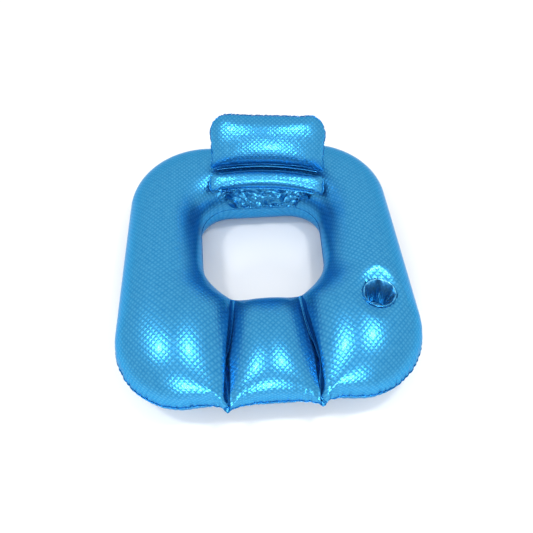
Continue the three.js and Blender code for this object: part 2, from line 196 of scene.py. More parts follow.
def along(edge, distance):
    line, run = edge
    wrapped = np.mod(distance, run[-1])
    return np.stack([np.interp(wrapped, run, line[:, k]) for k in range(2)], -1)


outer_edge = outline(FRONT_HALF_WIDTH, BACK_HALF_WIDTH, EDGE_FRONT, EDGE_BACK, FRONT_CORNER, BACK_CORNER)
hole_edge = outline(**HOLE)
outer_length = outer_edge[1][-1]
hole_length = hole_edge[1][-1]


def swell(distance, rounding):
    short = 1 - np.minimum(distance / rounding, 1)
    return np.sqrt(1 - short**2)


def rows_between(count, hole_from, hole_to, outer_from, outer_to, rise, rounding=None):
    at_hole = np.linspace(hole_from, hole_to, count + 1)
    at_outer = np.linspace(outer_from, outer_to, count + 1)
    inner = along(hole_edge, at_hole)
    outer = along(outer_edge, at_outer)
    steps = np.linalg.norm(np.diff((inner + outer) / 2, axis=0), axis=1)
    run = np.concatenate([[0], np.cumsum(steps)])
    taper = rounding or run[-1] / 2
    return inner, outer, rise * swell(np.minimum(run, run[-1] - run), taper), at_outer


def ring_rows():
    weld = DIVIDER_WIDTH / 2
    horseshoe = rows_between(
        HORSESHOE_ROWS,
        DIVIDER_AT_HOLE + weld,
        hole_length - DIVIDER_AT_HOLE - weld,
        DIVIDER_AT_FRONT + weld,
        outer_length - DIVIDER_AT_FRONT - weld,
        TUBE_RISE,
        END_ROUNDING,
    )
    bolster = rows_between(
        BOLSTER_ROWS,
        weld - DIVIDER_AT_HOLE,
        DIVIDER_AT_HOLE - weld,
        weld - DIVIDER_AT_FRONT,
        DIVIDER_AT_FRONT - weld,
        BOLSTER_RISE,
    )
    return [np.concatenate(pair) for pair in zip(horseshoe, bolster)]


inner_places, outer_places, rises, outer_runs = ring_rows()
across = outer_places - inner_places
outward = across / np.linalg.norm(across, axis=1)[:, None]
from_middle = np.mod(outer_runs + outer_length / 2, outer_length) - outer_length / 2
nearest_divider = np.abs(np.abs(from_middle) - DIVIDER_AT_FRONT)
ear_reach = EAR * np.exp(-(nearest_divider / EAR_SPREAD))
outer_places = outer_places + outward * ear_reach[:, None]


def section(columns):
    """Unit section of the tube: sideways and up, from the outer weld over the top and back below."""
    turn = np.arange(2 * columns) * math.pi / columns
    power = 2 / TUBE_ROUNDNESS
    sideways = np.sign(np.cos(turn)) * np.abs(np.cos(turn)) ** power
    up = np.sign(np.sin(turn)) * np.abs(np.sin(turn)) ** power
    return sideways, up


def inflated_ring():
    sideways, up = section(COLUMNS)
    middle = (inner_places + outer_places) / 2
    reach = (outer_places - inner_places) / 2
    flat = middle[:, None] + reach[:, None] * sideways[None, :, None]
    height = SEAM_HEIGHT + rises[:, None] * up[None] + WALL * np.sign(np.round(up, 9))[None]
    return np.concatenate([flat, height[..., None]], -1)


def cut_pattern():
    """Where each point of the ring was on the flat vinyl before it was welded and blown up."""
    sideways, up = section(COLUMNS)
    span = np.hypot(np.diff(sideways[: COLUMNS + 1]) * 0.127, np.diff(up[: COLUMNS + 1]) * TUBE_RISE)
    share = np.concatenate([[0], np.cumsum(span)]) / span.sum()
    share = np.concatenate([share, share[1:-1][::-1]])
    start = outer_places + outward * CUT_OUTSIDE
    end = inner_places - outward * CUT_INSIDE
    return start[:, None] + (end - start)[:, None] * share[None, :, None]


def low_pass(grid, rows, columns):
    """The grid blurred by a Gaussian of that many rows and columns. It joins up with itself both ways."""
    down = np.fft.fftfreq(grid.shape[0])[:, None, None]
    sideways = np.fft.fftfreq(grid.shape[1])[None, :, None]
    keep = np.exp(-2 * (math.pi * rows * down) ** 2 - 2 * (math.pi * columns * sideways) ** 2)
    return np.real(np.fft.ifft2(np.fft.fft2(grid, axes=(0, 1)) * keep, axes=(0, 1)))


def doubled(grid, axis):
    """The grid with a smooth new point between each two."""
    near = grid + np.roll(grid, -1, axis)
    far = np.roll(grid, 1, axis) + np.roll(grid, -2, axis)
    middle = (9 * near - far) / 16
    shape = list(grid.shape)
    shape[axis] *= 2
    return np.stack([grid, middle], axis + 1).reshape(shape)


def closed_faces(rows, columns):
    """Quads of a grid that joins up with itself both ways."""
    i, j = np.meshgrid(np.arange(rows), np.arange(columns), indexing="ij")

    def at(a, b):
        return (a % rows) * columns + b % columns

    return np.stack([at(i, j), at(i + 1, j), at(i + 1, j + 1), at(i, j + 1)], -1).reshape(-1, 4)


def add_mesh(name, points, faces, material, sheet_places=None):
    mesh = bpy.data.meshes.new(name)
    corners = [list(map(int, face)) for face in faces]
    mesh.from_pydata(np.asarray(points).reshape(-1, 3).tolist(), [], corners)
    mesh.update()
    mesh.polygons.foreach_set("use_smooth", [True] * len(mesh.polygons))
    if sheet_places is not None:
        flat = np.asarray(sheet_places, np.float32).reshape(-1, 2)
        values = np.concatenate([flat, np.zeros((len(flat), 1), np.float32)], 1)
        attribute = mesh.attributes.new("sheet_place", "FLOAT_VECTOR", "POINT")
        attribute.data.foreach_set("vector", values.ravel())
    mesh.materials.append(material)
    piece = bpy.data.objects.new(name, mesh)
    bpy.context.scene.collection.objects.link(piece)
    return piece


# ---- Materials


class Nodes:
    """Builds a material's nodes."""

    def __init__(self, name):
        self.material = bpy.data.materials.new(name)
        self.material.use_nodes = True
        self.tree = self.material.node_tree
        self.shader = self.tree.nodes["Principled BSDF"]

    def add(self, kind, **settings):
        node = self.tree.nodes.new("ShaderNode" + kind)
        for key, value in settings.items():
            setattr(node, key, value)
        return node

    def link(self, output, target):
        self.tree.links.new(output, target)

    def math(self, operation, *values):
        node = self.add("Math", operation=operation)
        for socket, value in zip(node.inputs, values):
            if isinstance(value, (int, float)):
                socket.default_value = value
            else:
                self.link(value, socket)
        return node.outputs[0]

    def set(self, **values):
        for key, value in values.items():
            self.shader.inputs[key.replace("_", " ")].default_value = value


def lattice(nodes):
    """Height of the small four-sided pyramids embossed in the vinyl, from 0 to 1."""
    place = nodes.add("Attribute", attribute_name="sheet_place")
    turned = nodes.add("Mapping")
    turned.inputs["Rotation"].default_value = (0, 0, math.radians(45))
    turned.inputs["Scale"].default_value = (1 / CELL, 1 / CELL, 1)
    nodes.link(place.outputs["Vector"], turned.inputs["Vector"])
    split = nodes.add("SeparateXYZ")
    nodes.link(turned.outputs["Vector"], split.inputs[0])
    waves = [nodes.math("PINGPONG", split.outputs[k], 0.5) for k in (0, 1)]
    lowest = nodes.math("MINIMUM", *waves)
    return nodes.math("MULTIPLY", lowest, 2.0), place


DARK_BLUE = (0.010, 0.205, 0.500, 1)
LIGHT_BLUE = (0.095, 0.450, 0.740, 1)
# Painted light: the cup pocket is the ring's own vinyl made lighter, standing in for light falling into its
# pit
POCKET_PAINTED_LIGHT_BLUE = (0.220, 0.620, 0.860, 1)
EDGE_TINT = (0.25, 0.60, 0.85, 1)  # of what the vinyl mirrors at a glancing angle


def embossed_vinyl(name, dark, light):
    nodes = Nodes(name)
    height, place = lattice(nodes)
    speckle = nodes.add("TexNoise")
    speckle.inputs["Scale"].default_value = 60
    nodes.link(place.outputs["Vector"], speckle.inputs["Vector"])
    ramp = nodes.add("ValToRGB")
    ramp.color_ramp.elements[0].color = dark
    ramp.color_ramp.elements[1].color = light
    raised = nodes.math("MULTIPLY", height, 0.60)
    mottled = nodes.math("MULTIPLY", speckle.outputs["Fac"], 0.4)
    shade = nodes.math("ADD", raised, mottled)
    nodes.link(shade, ramp.inputs["Fac"])
    nodes.link(ramp.outputs["Color"], nodes.shader.inputs["Base Color"])
    bump = nodes.add("Bump")
    bump.inputs["Strength"].default_value = 1.0
    bump.inputs["Distance"].default_value = EMBOSSING
    nodes.link(height, bump.inputs["Height"])
    nodes.link(bump.outputs["Normal"], nodes.shader.inputs["Normal"])
    nodes.set(Metallic=0.92, Roughness=0.30, Specular_Tint=EDGE_TINT)
    nodes.set(Coat_Weight=0.20, Coat_Roughness=0.10, Coat_IOR=1.35)
    return nodes.material


def plain_vinyl():
    """The same vinyl without the lattice, as it is where two sheets are welded flat."""
    nodes = Nodes("welded_vinyl")
    grain = nodes.add("TexNoise")
    grain.inputs["Scale"].default_value = 900
    coordinates = nodes.add("TexCoord")
    nodes.link(coordinates.outputs["Object"], grain.inputs["Vector"])
    ramp = nodes.add("ValToRGB")
    ramp.color_ramp.elements[0].color = (0.012, 0.190, 0.470, 1)
    ramp.color_ramp.elements[1].color = (0.035, 0.280, 0.580, 1)
    nodes.link(grain.outputs["Fac"], ramp.inputs["Fac"])
    nodes.link(ramp.outputs["Color"], nodes.shader.inputs["Base Color"])
    bump = nodes.add("Bump")
    bump.inputs["Strength"].default_value = 0.3
    bump.inputs["Distance"].default_value = 0.0003
    nodes.link(grain.outputs["Fac"], bump.inputs["Height"])
    nodes.link(bump.outputs["Normal"], nodes.shader.inputs["Normal"])
    nodes.set(Metallic=0.92, Roughness=0.25, Specular_Tint=EDGE_TINT)
    nodes.set(Coat_Weight=0.20, Coat_Roughness=0.1, Coat_IOR=1.35)
    return nodes.material


def clear_vinyl():
    """Slightly cloudy clear vinyl of the valves."""
    nodes = Nodes("clear_valve_vinyl")
    cloud = nodes.add("TexNoise")
    cloud.inputs["Scale"].default_value = 350
    coordinates = nodes.add("TexCoord")
    nodes.link(coordinates.outputs["Object"], cloud.inputs["Vector"])
    ramp = nodes.add("ValToRGB")
    ramp.color_ramp.elements[0].color = (0.46, 0.66, 0.78, 1)
    ramp.color_ramp.elements[1].color = (0.66, 0.82, 0.90, 1)
    nodes.link(cloud.outputs["Fac"], ramp.inputs["Fac"])
    nodes.link(ramp.outputs["Color"], nodes.shader.inputs["Base Color"])
    rough = nodes.math("ADD", nodes.math("MULTIPLY", cloud.outputs["Fac"], 0.16), 0.16)
    nodes.link(rough, nodes.shader.inputs["Roughness"])
    bump = nodes.add("Bump")
    bump.inputs["Strength"].default_value = 0.2
    bump.inputs["Distance"].default_value = 0.0002
    nodes.link(cloud.outputs["Fac"], bump.inputs["Height"])
    nodes.link(bump.outputs["Normal"], nodes.shader.inputs["Normal"])
    nodes.set(Transmission_Weight=0.35, IOR=1.5, Coat_Weight=0.3, Coat_Roughness=0.1)
    return nodes.material


vinyl = embossed_vinyl("embossed_vinyl", DARK_BLUE, LIGHT_BLUE)
# A lighter copy of the same vinyl for the cup pocket: painted light, not a different vinyl
pocket_vinyl_painted_light = embossed_vinyl("pocket_vinyl_painted_light", LIGHT_BLUE, POCKET_PAINTED_LIGHT_BLUE)
welded = plain_vinyl()
clear = clear_vinyl()

# ---- Ring


def blow_up(name, start, cut, faces, pressed, frames, pressure, pinned=None):
    """Points of a welded pattern blown up by cloth simulation, from a first guess at its blown up shape."""
    mesh = bpy.data.meshes.new(name)
    mesh.from_pydata(start.tolist(), [], faces.tolist())
    piece = bpy.data.objects.new(name, mesh)
    scene = bpy.context.scene
    scene.collection.objects.link(piece)
    piece.shape_key_add(name="Basis")
    rest = piece.shape_key_add(name="cut")
    rest.data.foreach_set("co", cut.astype(np.float32).ravel())
    for label, chosen in (("pressed", pressed), ("pinned", pinned)):
        if chosen is not None:
            group = piece.vertex_groups.new(name=label)
            group.add([int(k) for k in np.flatnonzero(chosen)], 1.0, "REPLACE")
    cloth = piece.modifiers.new("cloth", "CLOTH")
    cloth.point_cache.frame_start = 1
    cloth.point_cache.frame_end = frames
    cloth.collision_settings.use_collision = False
    settings = cloth.settings
    settings.quality = 5
    settings.mass = 0.3
    settings.tension_stiffness = 40
    settings.compression_stiffness = 3
    settings.shear_stiffness = 5
    settings.bending_stiffness = 0.1
    if pressed is not None:
        settings.use_pressure = True
        settings.uniform_pressure_force = pressure
        settings.vertex_group_pressure = "pressed"
    if pinned is not None:
        settings.vertex_group_mass = "pinned"
    settings.rest_shape_key = rest
    settings.effector_weights.gravity = 0
    for number in range(1, frames + 1):
        scene.frame_set(number)
    solved = piece.evaluated_get(bpy.context.evaluated_depsgraph_get())
    points = np.zeros(len(start) * 3, np.float32)
    solved.data.vertices.foreach_get("co", points)
    scene.frame_set(1)
    bpy.data.objects.remove(piece)
    return points.reshape(-1, 3).astype(float)


def puckers(runs, seed, pitch, width):
    """Depth from 0 to 1 of the unevenly spaced gathers along a weld, at distances along it."""
    random = np.random.default_rng(seed)
    count = int(runs.max() / pitch) + 2
    places = (np.arange(count) + random.uniform(-0.28, 0.28, count)) * pitch
    depths = random.uniform(0.35, 1.0, count)
    widths = width * random.uniform(0.7, 1.3, count)
    gaps = (runs[:, None] - places[None]) / widths[None]
    return (depths * np.exp(-(gaps**2))).sum(1)


def grid_normals(grid):
    """Outward directions of a closed grid: rows run along the ring, columns round it over the top."""
    down = np.roll(grid, -1, 0) - np.roll(grid, 1, 0)
    over = np.roll(grid, -1, 1) - np.roll(grid, 1, 1)
    normals = np.cross(down, over)
    return normals / np.maximum(np.linalg.norm(normals, axis=-1, keepdims=True), 1e-9)


def doubled_runs(runs, whole):
    between = (runs + np.append(runs[1:], runs[0] + whole)) / 2
    return np.stack([runs, between], 1).ravel()


def corner_share(line):
    """How strongly a closed line bends at each of its points, from 0 to 1."""
    step = np.roll(line, -1, 0) - line
    turn = np.arctan2(step[:, 1], step[:, 0])
    bend = np.abs(np.angle(np.exp(1j * (np.roll(turn, -1) - turn))))
    bend = bend / np.maximum(np.linalg.norm(step, axis=1), 1e-6)
    return np.minimum(low_pass(bend[:, None, None], 24, 0.001)[:, 0, 0] * 0.21, 1.0)


def gather_seam(shape, runs):
    """The puckers along the outer weld, strongest at the corners, and the scallops in its line."""
    columns = shape.shape[1]
    normals = grid_normals(shape)
    seam = shape[:, 0]
    strength = 0.22 + 0.78 * corner_share(seam[:, :2])
    depth = puckers(runs - runs.min(), 11, PUCKER_PITCH, PUCKER_WIDTH) * strength
    for side in (1, -1):
        gone = np.zeros(len(shape))
        for k in range(1, columns // 4):
            here = shape[:, side * k]
            gone = gone + np.linalg.norm(here - shape[:, side * (k - 1)], axis=1)
            share = gone / PUCKER_PEAK * np.exp(1 - gone / PUCKER_PEAK)
            shape[:, side * k] = here - normals[:, side * k] * (PUCKER_DEPTH * depth * share)[:, None]
    inward = np.zeros_like(seam)
    inward[:, :2] = shape[:, columns // 2, :2] - seam[:, :2]
    inward /= np.linalg.norm(inward, axis=1)[:, None]
    for k in range(-5, 6):
        fade = math.exp(-abs(k) / 2.0)
        shape[:, k] += inward * (SCALLOP * depth * fade)[:, None]
    return shape


def dip_at_cup(shape):
    """The upper sheet sinks towards the cup pocket's rim."""
    away = np.hypot(shape[..., 0] - CUP.x, shape[..., 1] - CUP.y)
    upper = shape[..., 2] > SEAM_HEIGHT
    near = np.clip((away - CUP_HOLE) / CUP_DIP_REACH, 0, 1)
    blend = (1 - near) ** 2 * (1 + 2 * near)
    lip = CUP_PLANE - CUP_LIP_DROP * np.exp(-np.maximum(away - CUP_HOLE, 0) / 0.006)
    shape[..., 2] = np.where(upper, shape[..., 2] * (1 - blend) + lip * blend, shape[..., 2])
    return shape


def ring_points():
    target = inflated_ring()
    cut = cut_pattern()
    rows, columns = target.shape[:2]
    cut_points = np.concatenate([cut, np.full((rows, columns, 1), SEAM_HEIGHT)], -1).reshape(-1, 3)
    pressed = np.repeat(rises > 1e-4, columns)
    faces = closed_faces(rows, columns)
    solved = blow_up("ring_pattern", target.reshape(-1, 3), cut_points, faces, pressed, 14, 2.5)
    solved = solved.reshape(target.shape)
    shape = solved + low_pass(target - solved, 7, 4)
    horseshoe = HORSESHOE_ROWS + 1
    runs = np.concatenate([outer_runs[:horseshoe], outer_runs[horseshoe:] + outer_length])
    for axis in (0, 1, 0):
        shape = doubled(shape, axis)
        cut = doubled(cut, axis)
        if axis == 0:
            runs = doubled_runs(runs, outer_length)
    return dip_at_cup(gather_seam(shape, runs)), cut


def copy_sheet_places(source, target):
    """Gives each point of a cut mesh the sheet place of the nearest point of the uncut mesh."""
    tree = KDTree(len(source.vertices))
    for vertex in source.vertices:
        tree.insert(vertex.co, vertex.index)
    tree.balance()
    values = np.zeros(len(source.vertices) * 3, np.float32)
    source.attributes["sheet_place"].data.foreach_get("vector", values)
    nearest = [tree.find(vertex.co)[1] for vertex in target.vertices]
    if "sheet_place" in target.attributes:
        target.attributes.remove(target.attributes["sheet_place"])
    made = target.attributes.new("sheet_place", "FLOAT_VECTOR", "POINT")
    made.data.foreach_set("vector", values.reshape(-1, 3)[nearest].ravel())


def cut_out(piece, cutter):
    """Cuts one closed mesh out of another."""
    modifier = piece.modifiers.new("cut", "BOOLEAN")
    modifier.operation = "DIFFERENCE"
    modifier.solver = "EXACT"
    modifier.object = cutter
    made = bpy.data.meshes.new_from_object(piece.evaluated_get(bpy.context.evaluated_depsgraph_get()))
    piece.modifiers.clear()
    copy_sheet_places(piece.data, made)
    piece.data = made
    bpy.data.objects.remove(cutter)


def facing_out(points, faces):
    """The quads of a closed piece, turned over if they face inwards."""
    a, b, c, d = (points.reshape(-1, 3)[faces[:, k]] for k in range(4))
    volume = np.einsum("ij,ij->", a, np.cross(b, c)) + np.einsum("ij,ij->", a, np.cross(c, d))
    return faces if volume > 0 else faces[:, ::-1]


def turned(name, profile, material, steps=96, ripple=None):
    """A closed turned piece about the cup's axis, from (radius, height) points, which may be rippled."""
    profile = np.asarray(profile)
    angle = np.arange(steps) * 2 * math.pi / steps
    radius = np.repeat(profile[None, :, 0], steps, 0)
    height = np.repeat(profile[None, :, 1], steps, 0)
    if ripple is not None:
        radius, height = ripple(angle[:, None], radius, height)
    points = np.stack(
        [CUP.x + radius * np.cos(angle)[:, None], CUP.y + radius * np.sin(angle)[:, None], height], -1
    )
    places = np.stack([np.repeat(angle[:, None] * CUP_HOLE, len(profile), 1), height], -1)
    return add_mesh(name, points, facing_out(points, closed_faces(steps, len(profile))), material, places)


def ring():
    shape, cut = ring_points()
    shape[..., 2] = np.maximum(shape[..., 2], 0.0)
    rows, columns = shape.shape[:2]
    piece = add_mesh("ring_chambers", shape, closed_faces(rows, columns), vinyl, cut)
    pit = [
        (0.0005, CUP_FLOOR - 0.004),
        (CUP_HOLE, CUP_FLOOR - 0.004),
        (CUP_HOLE, CUP_PLANE + 0.03),
        (0.0005, CUP_PLANE + 0.03),
    ]
    cut_out(piece, turned("cup_cutter", pit, vinyl))
    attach(piece, "ring")
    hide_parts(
        "horseshoe_upper_sheet",
        "horseshoe_lower_sheet",
        "bolster_upper_sheet",
        "bolster_lower_sheet",
        "right_dividing_weld",
        "left_dividing_weld",
    )
    return shape


def weld_margin(name, line, outward, width, body, thickness=0.0008, normal=None, closed=True):
    """The flat welded strip outside a seam, as a closed ribbon along a line."""
    up = np.array([0.0, 0.0, 1.0]) if normal is None else normal
    width = np.broadcast_to(width, (len(line),))[:, None]
    half = up * thickness / 2
    inner = line - outward * thickness
    middle = line + outward * width * 0.55
    outer = line + outward * width
    over = [inner + half, middle + half, outer + half]
    under = [outer - half, middle - half, inner - half]
    ribbon = np.stack(over + under, 1)
    rows, columns = ribbon.shape[:2]
    faces = closed_faces(rows, columns)
    if not closed:
        faces = faces.reshape(rows, columns, 4)[:-1].reshape(-1, 4).tolist()
        faces += [list(range(columns))[::-1], [(rows - 1) * columns + k for k in range(columns)]]
    piece = add_mesh(name, ribbon, faces, welded)
    if body:
        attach(piece, body)
    return piece


def ring_margins(shape):
    columns = shape.shape[1]
    seam, hole = shape[:, 0], shape[:, columns // 2]
    outward = seam - hole
    outward[:, 2] = 0
    outward /= np.linalg.norm(outward, axis=1)[:, None]
    random = np.random.default_rng(5)
    wave = low_pass(random.normal(size=(len(seam), 1, 1)), 3, 0.001)[:, 0, 0]
    wave = wave / np.abs(wave).max()
    lift = np.stack([0 * wave, 0 * wave, wave * 0.0012], 1)
    weld_margin("outer_weld_margin", seam + lift, outward, 0.0026 + 0.0005 * wave, "ring")
    weld_margin("hole_weld_margin", hole, -outward, 0.0012, "ring")


def dividing_welds(shape):
    """The bright pressed line in each valley between an arm and the bolster."""
    columns = shape.shape[1]
    step = 4
    ends = {
        "right_weld_line": (0, len(shape) - 1),
        "left_weld_line": (step * HORSESHOE_ROWS, step * (HORSESHOE_ROWS + 1)),
    }
    for name, (arm, leg) in ends.items():
        upper = (shape[arm, : columns // 2 + 1] + shape[leg, : columns // 2 + 1]) / 2
        toward = np.gradient(upper, axis=0)
        side = np.cross(toward, [0, 0, 1.0])
        side /= np.linalg.norm(side, axis=1)[:, None]
        line = upper + [0, 0, 0.0010] - side * 0.0009
        weld_margin(name, line, side, 0.0018, "ring", thickness=0.0014, closed=False)


ring_shape = ring()
ring_margins(ring_shape)
dividing_welds(ring_shape)

# ---- Cup pocket


def pocket_ripple(angle, radius, height):
    """The air round the pocket presses its wall into soft folds that run down it."""
    depth = np.clip((CUP_PLANE - height) / (CUP_PLANE - CUP_FLOOR), 0, 1)
    lobes = np.abs(np.sin(3.5 * angle + 0.9 + 0.5 * np.sin(2 * angle) + 0.8 * depth)) ** 0.6
    small = np.sin(11 * angle + 2.0 * depth + 1.3)
    press = np.sin(math.pi * np.clip(depth * 1.02, 0, 1)) ** 0.7
    return radius - press * (0.0125 * lobes + 0.0016 * small), height


def cup_pocket():
    floor = CUP_FLOOR
    depths = np.linspace(0, 1, 34)
    mouth, base = CUP_MOUTH, CUP_BASE
    wall = [(mouth + (base - mouth) * d, CUP_PLANE + (floor + 0.001 - CUP_PLANE) * d) for d in depths]
    bottom = [(base * k / 8, floor + 0.001 + 0.0012 * math.sin(math.pi * k / 8)) for k in range(7, 0, -1)]
    inside = wall + bottom + [(0.0006, floor + 0.001)]
    outside = [(0.0006, floor)] + [(r + WALL, z - WALL) for r, z in bottom[::-1]]
    outside += [(r + 2 * WALL, z) for r, z in wall[::-1]]
    piece = turned("cup_pocket", inside + outside, pocket_vinyl_painted_light, steps=180, ripple=pocket_ripple)
    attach(piece, "ring")
    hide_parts("cup_sleeve", "cup_base_disc")


def cup_rim():
    """The thin rolled rim where the pocket is welded to the ring's sheet."""
    angle = np.linspace(0, 2 * math.pi, 12, endpoint=False)
    centre = (CUP_MOUTH + 0.0012, CUP_PLANE - CUP_LIP_DROP + 0.0012)
    profile = [(centre[0] + 0.0021 * math.cos(a), centre[1] + 0.0014 * math.sin(a)) for a in angle[::-1]]

    def wobble(turn, radius, height):
        return radius, height + 0.0009 * np.sin(3 * turn + 1) * np.ones_like(height)

    piece = turned("cup_rim", profile, welded, steps=120, ripple=wobble)
    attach(piece, "ring")
    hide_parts("cup_rim_ring")


cup_pocket()
cup_rim()

# ---- Backrest cushions


def fold_frame(joint, tilt):
    """Matrix of a cushion's own frame at rest: X along its fold, Y up its slope and Z out of its front."""
    origin = np.array(JOINTS[joint]["pos_m"])
    right = np.array(JOINTS[joint]["axis"])
    level = np.cross([0, 0, 1.0], right)
    slope = level * math.cos(tilt) + np.array([0, 0, 1.0]) * math.sin(tilt)
    return origin, np.stack([right, slope, np.cross(right, slope)])


def cushion_grid(half, length, foot, head, across, along_count):
    """Grid over a rectangle with round corners whose lines run smoothly into its edge. It starts at y = 0."""
    edge = outline(half, half, 0.0, length, foot, head)
    whole = edge[1][-1]
    first = half - foot + foot * math.pi / 4
    second = half - foot + foot * math.pi / 2 + length - foot - head + head * math.pi / 4
    u = np.linspace(0, 1, across)[:, None]
    v = np.linspace(0, 1, along_count)[:, None]
    bottom = along(edge, -first + 2 * first * u[:, 0])
    top = along(edge, whole - second - (whole - 2 * second) * u[:, 0])
    left = along(edge, -first - (second - first) * v[:, 0])
    right = along(edge, first + (second - first) * v[:, 0])
    low = bottom[None] * (1 - v[..., None]) + top[None] * v[..., None]
    wide = left[:, None] * (1 - u[None]) + right[:, None] * u[None]
    corners = (1 - v[..., None]) * ((1 - u[None]) * bottom[0] + u[None] * bottom[-1])
    corners = corners + v[..., None] * ((1 - u[None]) * top[0] + u[None] * top[-1])
    return low + wide - corners


def two_sided(rows, columns):
    """Vertex numbers of a front and a back grid that share their border, and the faces between them."""
    front = np.arange(rows * columns).reshape(rows, columns)
    back = front.copy()
    inside = np.arange((rows - 2) * (columns - 2)).reshape(rows - 2, columns - 2)
    back[1:-1, 1:-1] = rows * columns + inside

    def quads(g):
        return np.stack([g[:-1, :-1], g[:-1, 1:], g[1:, 1:], g[1:, :-1]], -1).reshape(-1, 4)

    return front, back, np.concatenate([quads(front), quads(back)[:, ::-1]])


def border(grid):
    return np.concatenate([grid[0, :-1], grid[:-1, -1], grid[-1, :0:-1], grid[:0:-1, 0]])


def cushion(name, body, joint, tilt, size, droop, replaced, seed):
    """A welded cushion of a front and a back sheet, blown up by simulation, then bent over the ring."""
    across, along_count = size["grid"]
    half, length, rise = BACKREST_WIDTH / 2, size["length"], size["rise"]
    shape = cushion_grid(half, length, size["foot"], size["head"], across, along_count)
    cut_half, cut_length = half * size["cut_wide"], length * size["cut_long"]
    cut = cushion_grid(cut_half, cut_length, size["foot"], size["head"] * 1.25, across, along_count)
    rows, columns = shape.shape[:2]
    front, back, faces = two_sided(rows, columns)
    u = np.linspace(-1, 1, columns)[None]
    v = np.linspace(-1, 1, rows)[:, None]
    up = rise * ((1 - u**2) * (1 - v**2)) ** 0.5
    count = rows * columns + (rows - 2) * (columns - 2)
    start = np.zeros((count, 3))
    flat = np.zeros((count, 3))
    for grid, side in ((back, -1), (front, 1)):
        start[grid] = np.concatenate([shape, side * up[..., None]], -1)
        flat[grid] = np.concatenate([cut, side * 1e-4 + 0 * cut[..., :1]], -1)
    points = start
    random = np.random.default_rng(seed)
    nudged = start + random.normal(scale=0.0003, size=start.shape)
    points = blow_up(name + "_pattern", nudged, flat, faces, np.ones(count, bool), 18, 3.0)
    low, high = points.min(0), points.max(0)
    aim_low, aim_high = np.array([-half, 0, -rise]), np.array([half, length, rise])
    points = aim_low + (points - low) / (high - low) * (aim_high - aim_low)
    edge = border(front)
    ring_line = points[edge]
    runs = np.concatenate([[0], np.cumsum(np.linalg.norm(np.diff(ring_line, axis=0), axis=1))])
    middle = np.array([0, length / 2, 0])
    away = ring_line - middle
    away[:, 0] *= 0.35
    away[:, 2] = 0
    away /= np.linalg.norm(away, axis=1)[:, None]
    depth = puckers(runs, seed + 1, 0.0125, 0.0036)
    points[edge] -= away * (0.0018 * depth)[:, None]
    shift = 0.0015

    def placed(local):
        up_slope = np.clip(local[..., 1] / length, 0, 1)
        bend = droop + (size["far_droop"] - droop) * up_slope
        local = local + [0, shift, 0]
        local[..., 1] -= bend * (local[..., 0] / half) ** 2
        origin, axes = fold_frame(joint, tilt)
        return origin + local @ axes

    places = np.zeros((count, 2))
    places[back] = cut + [0.4, 0]
    places[front] = cut
    piece = add_mesh(name, placed(points.copy()), faces, vinyl, places)
    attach(piece, body)
    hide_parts(*replaced)
    smoother = piece.modifiers.new("smooth", "SUBSURF")
    smoother.levels = smoother.render_levels = 1
    wide = np.where(points[edge][:, 1] < 0.006, 0.0008, 0.0022)
    line = placed(points[edge].copy())
    direction = placed(points[edge] + away * 0.001) - line
    direction /= np.linalg.norm(direction, axis=1)[:, None]
    normal = fold_frame(joint, tilt)[1][2]
    weld_margin(name + "_weld_margin", line, direction, wide, body, normal=normal)


# ---- Folds and flap


def fold_strip(name, joint, tilts, half, droop):
    """The flat weld at which a cushion folds, as a strip across the joint's axis."""
    origin, low_axes = fold_frame(joint, tilts[0])
    high_axes = fold_frame(joint, tilts[1])[1]
    x = np.linspace(-half, half, 81)
    spread = np.array([-1.0, -0.5, 0.0, 0.5, 1.0]) * FOLD * STRIP_SPREAD
    rows = []
    for offset in spread:
        axes = high_axes if offset > 0 else low_axes
        local = np.stack([x, offset - droop * (x / half) ** 2, 0 * x], -1)
        rows.append(origin + local @ axes)
    grid = np.stack(rows, 1)
    normal = (low_axes[2] + high_axes[2]) / 2
    half_thick = normal * (STRIP_THICKNESS / 2)
    upper, under = grid + half_thick, grid - half_thick
    loop = np.concatenate([upper, under[:, ::-1]], 1)
    count, columns = loop.shape[:2]
    faces = closed_faces(count, columns).reshape(count, columns, 4)[:-1].reshape(-1, 4).tolist()
    faces += [list(range(columns))[::-1], [(count - 1) * columns + k for k in range(columns)]]
    piece = add_mesh(name, loop, faces, welded)
    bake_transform(piece)


cushion(
    "lumbar_roll_cushion",
    "lumbar_roll",
    "backrest_fold",
    ROLL_TILT,
    ROLL,
    DROOP,
    ["lumbar_roll_front_sheet", "lumbar_roll_back_sheet"],
    21,
)
cushion(
    "headrest_cushion",
    "headrest",
    "headrest_fold",
    HEADREST_TILT,
    HEADREST,
    DROOP * 0.8,
    ["headrest_front_sheet", "headrest_back_sheet"],
    31,
)
fold_strip(
    "headrest_fold_weld",
    "headrest_fold",
    (ROLL_TILT, HEADREST_TILT),
    BACKREST_WIDTH / 2 - 0.02,
    DROOP * 0.7,
)


